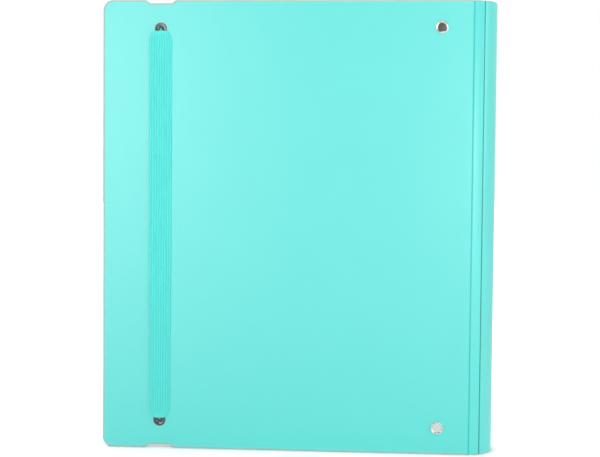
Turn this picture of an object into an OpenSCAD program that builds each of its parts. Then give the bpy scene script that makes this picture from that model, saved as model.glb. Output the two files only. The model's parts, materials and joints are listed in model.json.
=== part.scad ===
// Polypropylene ring folder with an elastic closure, closed and standing on its lower edges.
// X runs from the free edges to the spine, Y from the back cover to the front cover, Z is up.
// The origin is under the middle of the closed folder.

/* [Covers] */
// Height of the covers
cover_h = 302; // [296:1:330]
// Width of a cover from its free edge to its first crease
cover_w = 247; // [200:1:270]
// Thickness of the polypropylene sheet
sheet_t = 1.2; // [0.8:0.1:1.6]
// Outside thickness of the closed folder
folder_t = 40; // [39:1:60]
// Radius of the corners at the free edges
corner_r = 6.5; // [2:0.5:15]

/* [Creases and spine] */
// Distance between the two creases of a cover
strip_w = 7; // [5:0.5:12]
// Angle by which the strip between the creases leans inward
strip_tilt = 12; // [0:1:16]
// Rise of the rounded spine past the second creases
spine_rise = 9.5; // [7:0.5:14]
// Free gap at a crease
crease_gap = 0.3; // [0.2:0.05:0.5]

/* [Notches for the band] */
// Width of a notch at the edge of the cover
notch_mouth = 20; // [16:0.5:30]
// Width of a notch at its floor
notch_floor = 15; // [8:0.5:15.5]
// Depth of a notch
notch_depth = 2; // [1:0.25:4]

/* [Elastic band] */
// Distance from the free edge to the middle of the band
band_inset = 39; // [25:1:60]
// Width of the band
band_w = 15; // [10:0.5:20]
// Thickness of the band over its ribs
band_t = 1.4; // [1:0.1:2]
// Number of ribs along the band
band_ribs = 9; // [5:1:13]
// Thickness of the web between the ribs
band_web = 0.9; // [0.5:0.05:0.95]
// Length over which an end of the band gathers
band_gather = 6; // [4:0.5:12]
// Width of the band where it crosses the rim of an eyelet
band_neck_w = 8; // [5:0.2:9]
// Diameter of the gathered tail inside an eyelet
band_tail_d = 4.6; // [3:0.1:5]

/* [Eyelets and crimps] */
// Distance from the upper or lower edge to an eyelet
eyelet_inset = 19; // [14:0.5:26]
// Outer diameter of an eyelet
eyelet_d = 8.2; // [7.6:0.1:10]
// Bore of an eyelet
eyelet_bore = 5.2; // [5.1:0.1:5.6]
// Wall of an eyelet
eyelet_wall = 0.5; // [0.3:0.05:0.6]
// Length of a crimp bar
crimp_l = 13; // [9:0.5:18]
// Thickness of a crimp bar
crimp_t = 2.4; // [1.5:0.1:4]
// Width of a crimp bar
crimp_w = 6.4; // [5.8:0.2:9]

/* [Rivets] */
// Distance between the two rivets
rivet_span = 266.7; // [262:0.1:268]
// Distance from the rivets to the first crease
rivet_inset = 20.5; // [20:0.5:40]
// Diameter of a rivet head
rivet_head_d = 8.5; // [7:0.1:10]
// Height of a rivet head
rivet_head_h = 1.1; // [0.7:0.05:1.6]
// Diameter of the dish in a rivet head
rivet_dish_d = 6; // [4.5:0.1:6.4]
// Diameter of a rivet shank
rivet_shank_d = 4.4; // [3.5:0.1:4.8]
// Diameter of the clinched end of a rivet
rivet_clinch_d = 6.4; // [5.4:0.1:7]

/* [Ring housing] */
// Distance from a rivet to the nearer end of the housing
housing_end = 11.65; // [10.5:0.05:13]
// Width of the housing
housing_w = 26; // [25.5:0.25:30]
// Height of the housing
housing_h = 9; // [8.8:0.1:10]
// Thickness of the housing plate
housing_t = 0.9; // [0.6:0.05:1]
// Height of the inturned lips above the cover
lip_lift = 1.45; // [1.3:0.05:1.8]

/* [Blades and rings] */
// Thickness of a blade
blade_t = 1; // [0.8:0.1:1.2]
// Angle by which the closed blades sag towards the middle
blade_sag = 4; // [1:0.5:5]
// Clearance of the blades in the housing lips
blade_clear = 0.25; // [0.1:0.05:0.4]
// Distance between neighbouring rings
ring_pitch = 108; // [80:1:112]
// Bore of a closed ring
ring_bore = 25; // [20:0.5:26]
// Diameter of the ring wire
wire_d = 3.2; // [2.4:0.1:3.4]
// Radius of the bend between a ring and its leg
elbow_r = 3; // [2.4:0.1:3.4]
// Distance from the middle of the housing to a ring leg
leg_inset = 6.3; // [5.6:0.1:6.5]
// Diameter of the stub that is riveted into a blade
stub_d = 2.4; // [1.6:0.1:2.4]
// Gap between the tips of a closed ring
tip_gap = 0.3; // [0.2:0.05:0.6]

/* [Levers] */
// Distance from a housing end to a lever pin
pin_inset = 3.6; // [3:0.1:3.8]
// Height of the lever pins above the cover
pin_lift = 4.2; // [4:0.05:4.4]
// Diameter of a lever pin
pin_d = 2; // [1.5:0.1:2.4]
// Clearance round a lever pin
pin_clear = 0.05; // [0.02:0.01:0.1]
// Width of a lever at its hub
lever_w = 12; // [11.4:0.1:12.2]
// Thickness of a lever arm
lever_t = 1.4; // [1:0.1:1.6]
// Height of a lever handle above its pin
lever_rise = 11; // [9:0.5:16]
// Radius of the rolled tip of a lever
lever_roll_r = 1.5; // [1:0.1:1.8]

/* [Hidden] */
$fn = 96;
// Overrun of a cut past the face that it cuts
cut = 1;
// Seat clearance of soft pieces
soft_clear = 0.1;

// Section of the cover: crease axes, with the outer back face at y = 0 and the free edge at x = 0
crease_step = sheet_t + crease_gap;
crease_1 = [cover_w, sheet_t / 2];
crease_2 = crease_1 + strip_w * [cos(strip_tilt), sin(strip_tilt)];
spine_half = folder_t / 2 - crease_2[1];
spine_r = (spine_half ^ 2 + spine_rise ^ 2) / (2 * spine_rise);
spine_axis = [crease_2[0] + spine_rise - spine_r, folder_t / 2];
spine_end = asin(spine_half / spine_r) - 2 * asin(crease_step / (2 * spine_r));
folder_w = crease_2[0] + spine_rise + sheet_t / 2;

// Depth of the pieces that stand out behind the back cover
band_out = eyelet_wall + soft_clear + band_t;
back_out = max(band_out, rivet_head_h);
origin = [folder_w / 2, (folder_t - back_out) / 2, 0];

// Places on the back cover
rivet_x = cover_w - rivet_inset;
rivet_low_z = (cover_h - rivet_span) / 2;
barrel_d = eyelet_bore + 2 * eyelet_wall;

// Ring metal, with its own y counted from the inner face of the back cover
housing_r = ((housing_w / 2) ^ 2 + housing_h ^ 2) / (2 * housing_h);
housing_axis_y = housing_h - housing_r;
housing_l = rivet_span + 2 * housing_end;
housing_low_z = rivet_low_z - housing_end;
seat_y = housing_h - housing_t * 2 / 3;
lip_top = lip_lift + housing_t;
pivot_y = lip_top + blade_t / 2 + blade_clear;
pivot_reach = housing_r - housing_t - blade_t / 2 - blade_clear;
pivot_x = sqrt(pivot_reach ^ 2 - (pivot_y - housing_axis_y) ^ 2);
lip_x = pivot_x - 0.6;
blade_l = pivot_x - tip_gap / 2;
blade_end = pin_inset + 2.6;
rivet_relief_d = rivet_shank_d + 1.6;
rivet_seat_d = rivet_clinch_d + 0.8;

// Rings
ring_r = (ring_bore + wire_d) / 2;
leg_turn = asin((leg_inset + elbow_r) / (ring_r + elbow_r));
elbow_y = pivot_y + blade_t / 2;
ring_y = elbow_y + (ring_r + elbow_r) * cos(leg_turn);
stub_root = 0.3;
stub_low_y = pivot_y - (pivot_x - leg_inset) * sin(blade_sag) - blade_t / 2;
tip_turn = asin(tip_gap / 2 / ring_r);
peg_d = wire_d * 0.42;
peg_l = 1.2;
peg_root = 0.8;
socket_play = 0.35;
slot_w = wire_d + 0.8;
slot_low_y = pivot_y + blade_t;

// Levers, drawn round their pin with the first coordinate running into the housing
hub_r = pin_d / 2 + 0.9;
tongue_w = 8;
tongue_reach = 4;
tongue_top = -(pin_lift - 0.5 - housing_t);
lip_ear_w = 1;
lip_ear_reach = 3;
arm_w = 10;
arm_knee = [-(pin_inset + 2), 4.8];
arm_tip = [-(pin_inset + 2.4), lever_rise];
lever_notch_side = 0.4;
lever_notch_l = pin_inset - 0.6;
pin_half_l = sqrt(housing_r ^ 2 - (pin_lift - housing_axis_y) ^ 2) + 0.2;

sheet_color = "#74f2ec";
band_color = "#65ece4";
nickel_color = "#c9ccd0";
steel_color = "#b4b8bc";

// Places the folder section over the origin
module in_folder() {
    translate(-origin)
        children();
}

// Places the ring metal on the inner face of the back cover
module on_back() {
    in_folder()
        translate([rivet_x, sheet_t, 0])
            children();
}

// Turns a piece made for the lower end into the one for the upper end
module upper() {
    translate([0, 0, cover_h])
        mirror([0, 0, 1])
            children();
}

// Turns a piece made for the back into the one for the front
module front() {
    translate([0, folder_t, 0])
        mirror([0, 1, 0])
            children();
}

// Turns a piece made for the spine side of the ring metal into the one for the free edge side
module edge_side() {
    mirror([1, 0, 0])
        children();
}

// Cylinder whose axis runs along y from low to high
module y_cylinder(d, low, high) {
    translate([0, high, 0])
        rotate([90, 0, 0])
            cylinder(d = d, h = high - low);
}

// Flat bar with round ends between two points
module round_bar(from, to, width) {
    run = to - from;
    translate(from)
        rotate(atan2(run[1], run[0]))
            translate([0, -width / 2])
                square([norm(run), width]);
    for (end = [from, to])
        translate(end)
            circle(d = width);
}

module notch_cut() {
    polygon([
        [-notch_mouth / 2, 0], [-notch_mouth / 2, -cut], [notch_mouth / 2, -cut],
        [notch_mouth / 2, 0], [notch_floor / 2, notch_depth], [-notch_floor / 2, notch_depth]
    ]);
}

// Outline of a cover with its round outer corners and band notches
module cover_outline() {
    difference() {
        union() {
            translate([corner_r, 0])
                square([cover_w - corner_r, cover_h]);
            translate([0, corner_r])
                square([corner_r + cut, cover_h - 2 * corner_r]);
            for (z = [corner_r, cover_h - corner_r])
                translate([corner_r, z])
                    circle(r = corner_r);
        }
        translate([band_inset, 0])
            notch_cut();
        translate([band_inset, cover_h])
            mirror([0, 1])
                notch_cut();
    }
}

// One cover panel at the back, with its rounded edge on the first crease
module cover_panel() {
    translate([0, sheet_t, 0])
        rotate([90, 0, 0])
            linear_extrude(sheet_t)
                cover_outline();
    translate(crease_1)
        cylinder(d = sheet_t, h = cover_h);
}

// The strip between the two creases at the back
module hinge_strip() {
    translate(crease_1)
        rotate(strip_tilt) {
            translate([crease_step, -sheet_t / 2, 0])
                cube([strip_w - crease_step, sheet_t, cover_h]);
            for (x = [crease_step, strip_w])
                translate([x, 0, 0])
                    cylinder(d = sheet_t, h = cover_h);
        }
}

module back_cover() {
    color(sheet_color)
        in_folder()
            difference() {
                cover_panel();
                for (z = [rivet_low_z, cover_h - rivet_low_z])
                    translate([rivet_x, 0, z])
                        y_cylinder(rivet_shank_d, -cut, sheet_t + cut);
                for (z = [eyelet_inset, cover_h - eyelet_inset])
                    translate([band_inset, 0, z])
                        y_cylinder(barrel_d, -cut, sheet_t + cut);
            }
}

module front_cover() {
    color(sheet_color)
        in_folder()
            front()
                cover_panel();
}

module back_hinge_strip() {
    color(sheet_color)
        in_folder()
            hinge_strip();
}

module front_hinge_strip() {
    color(sheet_color)
        in_folder()
            front()
                hinge_strip();
}

module spine() {
    color(sheet_color)
        in_folder()
            translate(spine_axis) {
                rotate(-spine_end)
                    rotate_extrude(angle = 2 * spine_end)
                        translate([spine_r - sheet_t / 2, 0])
                            square([sheet_t, cover_h]);
                for (turn = [-spine_end, spine_end])
                    rotate(turn)
                        translate([spine_r, 0, 0])
                            cylinder(d = sheet_t, h = cover_h);
            }
}

// Gathered lower end of the band: it climbs on the rim of the eyelet and drops into the bore
module band_end() {
    rim_y = -eyelet_wall - soft_clear;
    rim_z = eyelet_inset + eyelet_d / 2;
    hull() {
        translate([-band_w / 2, -soft_clear - band_t, rim_z + band_gather])
            cube([band_w, band_t, soft_clear]);
        translate([-band_neck_w / 2, rim_y - band_t, rim_z])
            cube([band_neck_w, band_t, soft_clear]);
    }
    hull() {
        translate([-band_neck_w / 2, rim_y - band_t, rim_z])
            cube([band_neck_w, band_t, soft_clear]);
        translate([0, 0, eyelet_inset])
            y_cylinder(band_tail_d, rim_y - band_t / 2, rim_y, $fn = 32);
    }
    translate([0, 0, eyelet_inset])
        y_cylinder(band_tail_d, rim_y - band_t / 2, sheet_t + eyelet_wall + crimp_t);
}

module elastic_band() {
    rib_pitch = (band_w - band_t) / (band_ribs - 1);
    strap_low_z = eyelet_inset + eyelet_d / 2 + band_gather;
    color(band_color)
        in_folder()
            translate([band_inset, 0, 0]) {
                translate([0, -soft_clear - band_t / 2, strap_low_z])
                    linear_extrude(cover_h - 2 * strap_low_z) {
                        square([band_w - band_t, band_web], center = true);
                        for (rib = [0 : band_ribs - 1])
                            translate([rib * rib_pitch - (band_w - band_t) / 2, 0])
                                circle(d = band_t, $fn = 24);
                    }
                band_end();
                upper()
                    band_end();
            }
}

// Lower eyelet: a barrel through the sheet with a rolled rim on each side
module eyelet() {
    rim_r = (eyelet_d - barrel_d) / 2 + eyelet_wall;
    color(nickel_color)
        in_folder()
            translate([band_inset, 0, eyelet_inset])
                rotate([-90, 0, 0])
                    rotate_extrude() {
                        translate([eyelet_bore / 2, -eyelet_wall / 2])
                            square([eyelet_wall, sheet_t + eyelet_wall]);
                        for (low = [-eyelet_wall, sheet_t])
                            translate([eyelet_bore / 2, low])
                                square([rim_r - eyelet_wall / 2, eyelet_wall]);
                        for (middle = [-eyelet_wall / 2, sheet_t + eyelet_wall / 2])
                            translate([(eyelet_d - eyelet_wall) / 2, middle])
                                circle(d = eyelet_wall, $fn = 24);
                    }
}

module lower_eyelet() {
    eyelet();
}

module upper_eyelet() {
    upper()
        eyelet();
}

// Lower crimp: a bar with round ends that holds the tail of the band inside the cover
module band_crimp() {
    color(nickel_color)
        in_folder()
            translate([band_inset, sheet_t + eyelet_wall, eyelet_inset])
                rotate([-90, 0, 0])
                    linear_extrude(crimp_t)
                        difference() {
                            round_bar([(crimp_w - crimp_l) / 2, 0], [(crimp_l - crimp_w) / 2, 0], crimp_w);
                            circle(d = band_tail_d);
                        }
}

module lower_band_crimp() {
    band_crimp();
}

module upper_band_crimp() {
    upper()
        band_crimp();
}

// Lower rivet: dished head outside, shank through sheet and housing, clinched on the housing seat
module rivet() {
    rim_d = (rivet_head_d - rivet_dish_d) / 2;
    head_r = rivet_head_d / 2;
    clinch_t = 0.7;
    seat = sheet_t + seat_y;
    color(nickel_color)
        in_folder()
            translate([rivet_x, 0, rivet_low_z])
                rotate([-90, 0, 0])
                    rotate_extrude() {
                        translate([head_r - rim_d / 2, -rivet_head_h + rim_d / 2])
                            intersection() {
                                circle(d = rim_d, $fn = 32);
                                translate([-rim_d, -rim_d])
                                    square([2 * rim_d, rim_d + rivet_head_h - rim_d / 2]);
                            }
                        translate([0, -rivet_head_h / 3])
                            square([head_r - rim_d / 2, rivet_head_h / 3]);
                        translate([0, -rivet_head_h / 3])
                            square([rivet_shank_d / 2, seat + clinch_t + rivet_head_h / 3]);
                        translate([0, seat])
                            square([(rivet_clinch_d - clinch_t) / 2, clinch_t]);
                        translate([(rivet_clinch_d - clinch_t) / 2, seat + clinch_t / 2])
                            circle(d = clinch_t, $fn = 24);
                    }
}

module lower_rivet() {
    rivet();
}

module upper_rivet() {
    upper()
        rivet();
}

// Arched section of the housing with the lips that carry the blades
module housing_section() {
    difference() {
        translate([0, housing_axis_y])
            circle(r = housing_r);
        translate([0, housing_axis_y])
            circle(r = housing_r - housing_t);
        translate([-housing_r - cut, -2 * housing_r])
            square([2 * (housing_r + cut), 2 * housing_r]);
    }
    for (side = [0, 1])
        mirror([side, 0])
            intersection() {
                translate([0, housing_axis_y])
                    circle(r = housing_r - housing_t / 2);
                translate([lip_x, lip_lift])
                    square([housing_w, housing_t]);
            }
}

module ring_housing() {
    mid_z = cover_h / 2;
    color(nickel_color)
        on_back()
            difference() {
                union() {
                    difference() {
                        translate([0, 0, housing_low_z])
                            linear_extrude(housing_l)
                                housing_section();
                        for (z = [rivet_low_z, cover_h - rivet_low_z])
                            translate([0, 0, z])
                                y_cylinder(rivet_seat_d, seat_y, housing_h + cut);
                    }
                    for (z = [rivet_low_z, cover_h - rivet_low_z])
                        translate([0, 0, z])
                            y_cylinder(rivet_seat_d + housing_t, seat_y - housing_t, seat_y);
                }
                for (z = [rivet_low_z, cover_h - rivet_low_z])
                    translate([0, 0, z])
                        y_cylinder(rivet_shank_d, pivot_y, housing_h + cut);
                for (z = [housing_low_z + pin_inset, cover_h - housing_low_z - pin_inset])
                    translate([-housing_w / 2, pin_lift, z])
                        rotate([0, 90, 0])
                            cylinder(d = pin_d, h = housing_w);
                for (z = [housing_low_z - cut, cover_h - housing_low_z - lever_notch_l])
                    translate([-arm_w / 2 - lever_notch_side, pin_lift, z])
                        cube([arm_w + 2 * lever_notch_side, housing_h, lever_notch_l + cut]);
                for (z = [mid_z - ring_pitch, mid_z, mid_z + ring_pitch], side = [0, 1])
                    mirror([side, 0, 0])
                        translate([leg_inset - wire_d / 2, slot_low_y, z - slot_w / 2])
                            cube([housing_w, housing_h, slot_w]);
            }
}

// Blade on the spine side: it turns on its round outer edge inside the housing lip
module blade() {
    mid_z = cover_h / 2;
    color(steel_color)
        on_back()
            difference() {
                translate([pivot_x, pivot_y, housing_low_z + blade_end])
                    rotate(180 + blade_sag)
                        linear_extrude(housing_l - 2 * blade_end) {
                            circle(d = blade_t);
                            translate([0, -blade_t / 2])
                                square([blade_l, blade_t]);
                        }
                for (z = [rivet_low_z, cover_h - rivet_low_z])
                    translate([0, 0, z])
                        y_cylinder(rivet_relief_d, -cut, housing_h);
                for (z = [mid_z - ring_pitch, mid_z, mid_z + ring_pitch])
                    translate([leg_inset, 0, z])
                        y_cylinder(stub_d, -cut, housing_h);
            }
}

module spine_side_blade() {
    blade();
}

module edge_side_blade() {
    on_back()
        edge_side()
            translate([-rivet_x, -sheet_t, 0])
                translate(origin)
                    blade();
}

// Section of the ring wire, whose seam lies on the flank of the ring and not in its plane
module wire_profile() {
    rotate(90)
        circle(d = wire_d, $fn = 32);
}

// Bent wire of a ring half on the spine side, in the plane of the ring
module ring_wire() {
    translate([0, ring_y, 0])
        rotate(leg_turn - 90)
            rotate_extrude(angle = 180 - leg_turn - tip_turn)
                translate([ring_r, 0])
                    wire_profile();
    translate([leg_inset + elbow_r, elbow_y, 0])
        rotate(90 + leg_turn)
            rotate_extrude(angle = 90 - leg_turn)
                translate([elbow_r, 0])
                    wire_profile();
    translate([leg_inset, 0, 0])
        y_cylinder(stub_d, stub_low_y, elbow_y + stub_root);
}

// Places a piece at the tip of a ring half, with its z running out of the tip
module at_tip() {
    translate([0, ring_y, 0])
        rotate(90 - tip_turn)
            translate([ring_r, 0, 0])
                rotate([-90, 0, 0])
                    children();
}

// Ring half on the spine side: its tip carries a peg
module peg_ring(level) {
    color(nickel_color)
        on_back()
            translate([0, 0, cover_h / 2 + level * ring_pitch]) {
                ring_wire();
                at_tip()
                    translate([0, 0, -peg_root])
                        cylinder(d = peg_d, h = peg_root + peg_l);
            }
}

// Ring half on the free edge side: its tip takes the peg
module socket_ring(level) {
    color(nickel_color)
        on_back()
            translate([0, 0, cover_h / 2 + level * ring_pitch])
                edge_side()
                    difference() {
                        ring_wire();
                        at_tip()
                            translate([0, 0, -peg_l - socket_play])
                                cylinder(d = peg_d + 2 * socket_play, h = peg_l + socket_play + cut);
                    }
}

module upper_spine_side_ring() {
    peg_ring(1);
}

module middle_spine_side_ring() {
    peg_ring(0);
}

module lower_spine_side_ring() {
    peg_ring(-1);
}

module upper_edge_side_ring() {
    socket_ring(1);
}

module middle_edge_side_ring() {
    socket_ring(0);
}

module lower_edge_side_ring() {
    socket_ring(-1);
}

// Extrudes a lever profile across the housing, with the profile's first axis running up
module across(width) {
    rotate([0, -90, 0])
        linear_extrude(width, center = true)
            children();
}

// Lower lever: hub on the pin, tongue under the blades, ears over them and a rolled handle
module lever() {
    ear_x = (lever_w - lip_ear_w) / 2;
    color(nickel_color)
        on_back()
            translate([0, pin_lift, housing_low_z + pin_inset])
                difference() {
                    union() {
                        across(lever_w)
                            circle(r = hub_r);
                        across(tongue_w) {
                            translate([-hub_r / 2, tongue_top - housing_t])
                                square([hub_r, -tongue_top]);
                            translate([-hub_r / 2, tongue_top - housing_t])
                                square([hub_r / 2 + tongue_reach, housing_t]);
                        }
                        for (x = [-ear_x, ear_x])
                            translate([x, 0, 0])
                                across(lip_ear_w)
                                    translate([0, -0.2])
                                        square([lip_ear_reach, housing_t]);
                        across(arm_w) {
                            round_bar([0, hub_r - lever_t / 2], arm_knee, lever_t);
                            round_bar(arm_knee, arm_tip, lever_t);
                            translate(arm_tip)
                                circle(r = lever_roll_r);
                        }
                    }
                    across(lever_w + 2 * cut)
                        circle(d = pin_d + 2 * pin_clear);
                }
}

module lower_lever() {
    lever();
}

module upper_lever() {
    upper()
        lever();
}

module lever_pin() {
    color(steel_color)
        on_back()
            translate([-pin_half_l, pin_lift, housing_low_z + pin_inset])
                rotate([0, 90, 0])
                    cylinder(d = pin_d, h = 2 * pin_half_l);
}

module lower_lever_pin() {
    lever_pin();
}

module upper_lever_pin() {
    upper()
        lever_pin();
}

back_cover();
back_hinge_strip();
spine();
front_hinge_strip();
front_cover();
elastic_band();
upper_eyelet();
lower_eyelet();
upper_band_crimp();
lower_band_crimp();
upper_rivet();
lower_rivet();
ring_housing();
spine_side_blade();
edge_side_blade();
upper_spine_side_ring();
middle_spine_side_ring();
lower_spine_side_ring();
upper_edge_side_ring();
middle_edge_side_ring();
lower_edge_side_ring();
upper_lever();
lower_lever();
upper_lever_pin();
lower_lever_pin();
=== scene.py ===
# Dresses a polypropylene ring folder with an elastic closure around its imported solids.
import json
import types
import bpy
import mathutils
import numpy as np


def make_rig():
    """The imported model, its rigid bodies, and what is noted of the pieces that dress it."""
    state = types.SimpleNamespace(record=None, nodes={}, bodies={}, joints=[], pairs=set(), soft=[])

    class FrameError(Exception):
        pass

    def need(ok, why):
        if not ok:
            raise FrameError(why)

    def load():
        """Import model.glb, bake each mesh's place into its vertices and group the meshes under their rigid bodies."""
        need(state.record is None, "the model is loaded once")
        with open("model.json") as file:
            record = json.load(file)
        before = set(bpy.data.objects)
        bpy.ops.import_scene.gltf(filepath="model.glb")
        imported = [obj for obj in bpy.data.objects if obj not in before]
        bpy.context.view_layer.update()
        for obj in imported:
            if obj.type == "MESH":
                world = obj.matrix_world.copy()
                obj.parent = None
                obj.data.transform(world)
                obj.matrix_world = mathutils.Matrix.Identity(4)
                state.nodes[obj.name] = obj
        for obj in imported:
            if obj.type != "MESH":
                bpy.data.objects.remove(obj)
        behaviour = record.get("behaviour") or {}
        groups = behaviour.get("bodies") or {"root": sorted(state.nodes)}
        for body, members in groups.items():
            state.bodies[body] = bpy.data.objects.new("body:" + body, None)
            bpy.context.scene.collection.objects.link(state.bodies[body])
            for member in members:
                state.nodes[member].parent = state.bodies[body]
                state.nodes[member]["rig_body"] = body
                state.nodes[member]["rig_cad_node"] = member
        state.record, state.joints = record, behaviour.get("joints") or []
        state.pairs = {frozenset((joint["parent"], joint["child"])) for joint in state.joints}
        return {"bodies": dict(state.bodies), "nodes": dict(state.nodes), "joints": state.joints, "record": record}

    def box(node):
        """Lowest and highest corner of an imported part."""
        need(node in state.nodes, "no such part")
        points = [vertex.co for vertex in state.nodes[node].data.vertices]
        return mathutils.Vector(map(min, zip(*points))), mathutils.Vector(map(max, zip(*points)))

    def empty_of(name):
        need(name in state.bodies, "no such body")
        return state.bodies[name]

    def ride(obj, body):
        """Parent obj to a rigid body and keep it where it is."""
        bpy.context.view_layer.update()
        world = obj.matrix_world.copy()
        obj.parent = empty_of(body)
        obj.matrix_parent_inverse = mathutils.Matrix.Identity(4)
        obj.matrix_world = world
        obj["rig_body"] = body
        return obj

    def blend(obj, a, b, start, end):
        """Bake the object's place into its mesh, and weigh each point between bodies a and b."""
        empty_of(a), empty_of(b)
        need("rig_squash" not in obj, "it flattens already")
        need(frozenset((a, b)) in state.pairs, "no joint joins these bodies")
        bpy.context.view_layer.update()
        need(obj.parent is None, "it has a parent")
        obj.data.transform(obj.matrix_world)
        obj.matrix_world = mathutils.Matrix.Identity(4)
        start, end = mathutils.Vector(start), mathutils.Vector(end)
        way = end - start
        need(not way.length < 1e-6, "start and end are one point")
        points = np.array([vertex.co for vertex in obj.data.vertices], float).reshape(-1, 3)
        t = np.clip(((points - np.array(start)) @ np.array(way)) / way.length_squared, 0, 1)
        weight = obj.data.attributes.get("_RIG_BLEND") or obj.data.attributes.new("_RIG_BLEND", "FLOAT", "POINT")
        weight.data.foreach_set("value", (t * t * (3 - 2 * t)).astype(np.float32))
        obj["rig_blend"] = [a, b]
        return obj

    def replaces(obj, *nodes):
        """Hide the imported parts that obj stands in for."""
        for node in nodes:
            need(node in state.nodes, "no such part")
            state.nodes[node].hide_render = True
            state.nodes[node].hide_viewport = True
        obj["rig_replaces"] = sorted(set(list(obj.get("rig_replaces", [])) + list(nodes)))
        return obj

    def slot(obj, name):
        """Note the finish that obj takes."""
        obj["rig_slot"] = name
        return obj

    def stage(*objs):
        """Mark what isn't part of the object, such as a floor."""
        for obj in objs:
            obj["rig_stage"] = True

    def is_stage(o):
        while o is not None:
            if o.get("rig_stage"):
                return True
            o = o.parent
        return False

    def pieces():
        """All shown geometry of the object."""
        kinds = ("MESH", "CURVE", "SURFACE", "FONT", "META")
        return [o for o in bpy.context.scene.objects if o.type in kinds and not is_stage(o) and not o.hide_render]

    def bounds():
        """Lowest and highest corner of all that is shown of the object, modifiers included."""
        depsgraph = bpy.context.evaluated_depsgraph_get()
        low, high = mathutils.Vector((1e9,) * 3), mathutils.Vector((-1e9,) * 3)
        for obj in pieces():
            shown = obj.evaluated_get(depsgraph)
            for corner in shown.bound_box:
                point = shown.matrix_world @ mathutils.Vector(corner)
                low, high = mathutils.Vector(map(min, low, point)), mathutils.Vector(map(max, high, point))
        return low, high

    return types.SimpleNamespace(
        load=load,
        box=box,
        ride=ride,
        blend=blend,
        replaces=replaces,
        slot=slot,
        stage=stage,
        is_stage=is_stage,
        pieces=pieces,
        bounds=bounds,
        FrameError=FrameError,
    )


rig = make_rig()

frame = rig.load()

import json
import math

import bmesh
import bpy
from bpy.props import FloatProperty, FloatVectorProperty, IntProperty, PointerProperty
from mathutils import Matrix, Vector

bl_info = {
    "name": "Ring folder dresser",
    "version": (1, 0, 0),
    "blender": (4, 5, 0),
    "location": "3D View > Sidebar > Folder",
    "description": "Builds the visible pieces of a creased polypropylene ring folder on its solids",
    "category": "Object",
}

MM = 0.001
CAD_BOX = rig.bounds()
NODES = frame["nodes"]
AXES = {joint["name"]: Vector(joint["pos_m"]) for joint in frame["joints"]}

# Material slots of the record
SHEET_SLOT = "turquoise_polypropylene"
BAND_SLOT = "turquoise_elastic"
NICKEL_SLOT = "nickel_plate"

LEVELS = ("lower", "middle", "upper")

# Kinds of node that formulas use
MATH = "ShaderNodeMath"
RANGE = "ShaderNodeMapRange"
PARTS = "ShaderNodeSeparateXYZ"

# Name, place, edge and power of each softbox, all aimed at one point
LIGHTS = (
    ("left_key", (-0.47, -1.2, 0.38), 0.45, 2.25),
    ("left_fill", (-0.6, -1.2, 0.25), 0.5, 1.6),
    ("right_key", (0.44, -1.2, 0.3), 0.3, 2.8),
    ("right_side", (1.2, -0.5, 0.5), 0.8, 4.2),
    ("high_front", (-0.1, -2.0, 1.9), 1.2, 13.8),
)
LIGHT_AIM = Vector((0, 0, 0.15))
# Strength of the room behind the camera, beside the folder, and behind it
ROOM_FRONT = 0.02
ROOM_SIDE = 0.42
ROOM_BACK = 0.95
# Light that the floor adds of its own, near the folder and in reflections
FLOOR_LIFT = 0.5
FLOOR_GLOSS = 0.3
# Distances from the middle of the floor between which that light grows to white
FLOOR_NEAR = 0.14
FLOOR_FAR = 0.4
FLOOR_HALF = 6
# Reach of the folder's contact shadow, and the open shares of the room at its dark and its light end
CONTACT_REACH = 11 * MM
CONTACT_DARK = 0.5
CONTACT_OPEN = 0.9
CAMERA_PLACE = Vector((0.0653, -0.8862, 0.1905))
CAMERA_YAW = math.radians(4.196)
CAMERA_PITCH = math.radians(-2.656)
CAMERA_ROLL = math.radians(-0.499)
# Focal length and width of the sensor in millimetres
LENS = 78
SENSOR_W = 36


def linear(hex_colour):
    """Linear colour of an sRGB hex value."""
    channels = [int(hex_colour[i:i + 2], 16) / 255 for i in (1, 3, 5)]
    return tuple(c / 12.92 if c <= 0.04045 else ((c + 0.055) / 1.055) ** 2.4 for c in channels)


def middle(node):
    """Centre of a solid's box."""
    low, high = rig.box(node)
    return (low + high) / 2


# Places that the solids give
BACK_LOW, BACK_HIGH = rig.box("back_cover")
FRONT_LOW, FRONT_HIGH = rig.box("front_cover")
BAND_LOW, BAND_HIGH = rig.box("elastic_band")
SHEET_T = BACK_HIGH.y - BACK_LOW.y
HEIGHT = BACK_HIGH.z - BACK_LOW.z
MID_Y = (BACK_LOW.y + FRONT_HIGH.y) / 2
LOWER_EYELET, UPPER_EYELET = middle("lower_eyelet"), middle("upper_eyelet")
LOWER_RIVET, UPPER_RIVET = middle("lower_rivet"), middle("upper_rivet")
OUTER_CREASE, INNER_CREASE = AXES["back_outer_crease"], AXES["spine_swing"]
STRIP_TURN = math.atan2(INNER_CREASE.y - OUTER_CREASE.y, INNER_CREASE.x - OUTER_CREASE.x)
STRIP_W = (INNER_CREASE - OUTER_CREASE).length
STRIP_LOW_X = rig.box("back_hinge_strip")[0].x
CREASE_STEP = (STRIP_LOW_X + SHEET_T / 2 - OUTER_CREASE.x) / math.cos(STRIP_TURN)
SPINE_HALF = MID_Y - INNER_CREASE.y
SPINE_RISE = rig.box("spine")[1].x - SHEET_T / 2 - INNER_CREASE.x
SPINE_R = (SPINE_HALF ** 2 + SPINE_RISE ** 2) / (2 * SPINE_RISE)
SPINE_AXIS = Vector((INNER_CREASE.x + SPINE_RISE - SPINE_R, MID_Y, 0))
SPINE_END = math.asin(SPINE_HALF / SPINE_R) - 2 * math.asin(CREASE_STEP / (2 * SPINE_R))


def length_property(name, description, size):
    """A length that a user may change. Its size is given in millimetres."""
    return FloatProperty(name=name, description=description, default=size * MM, min=0, unit="LENGTH")


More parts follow.
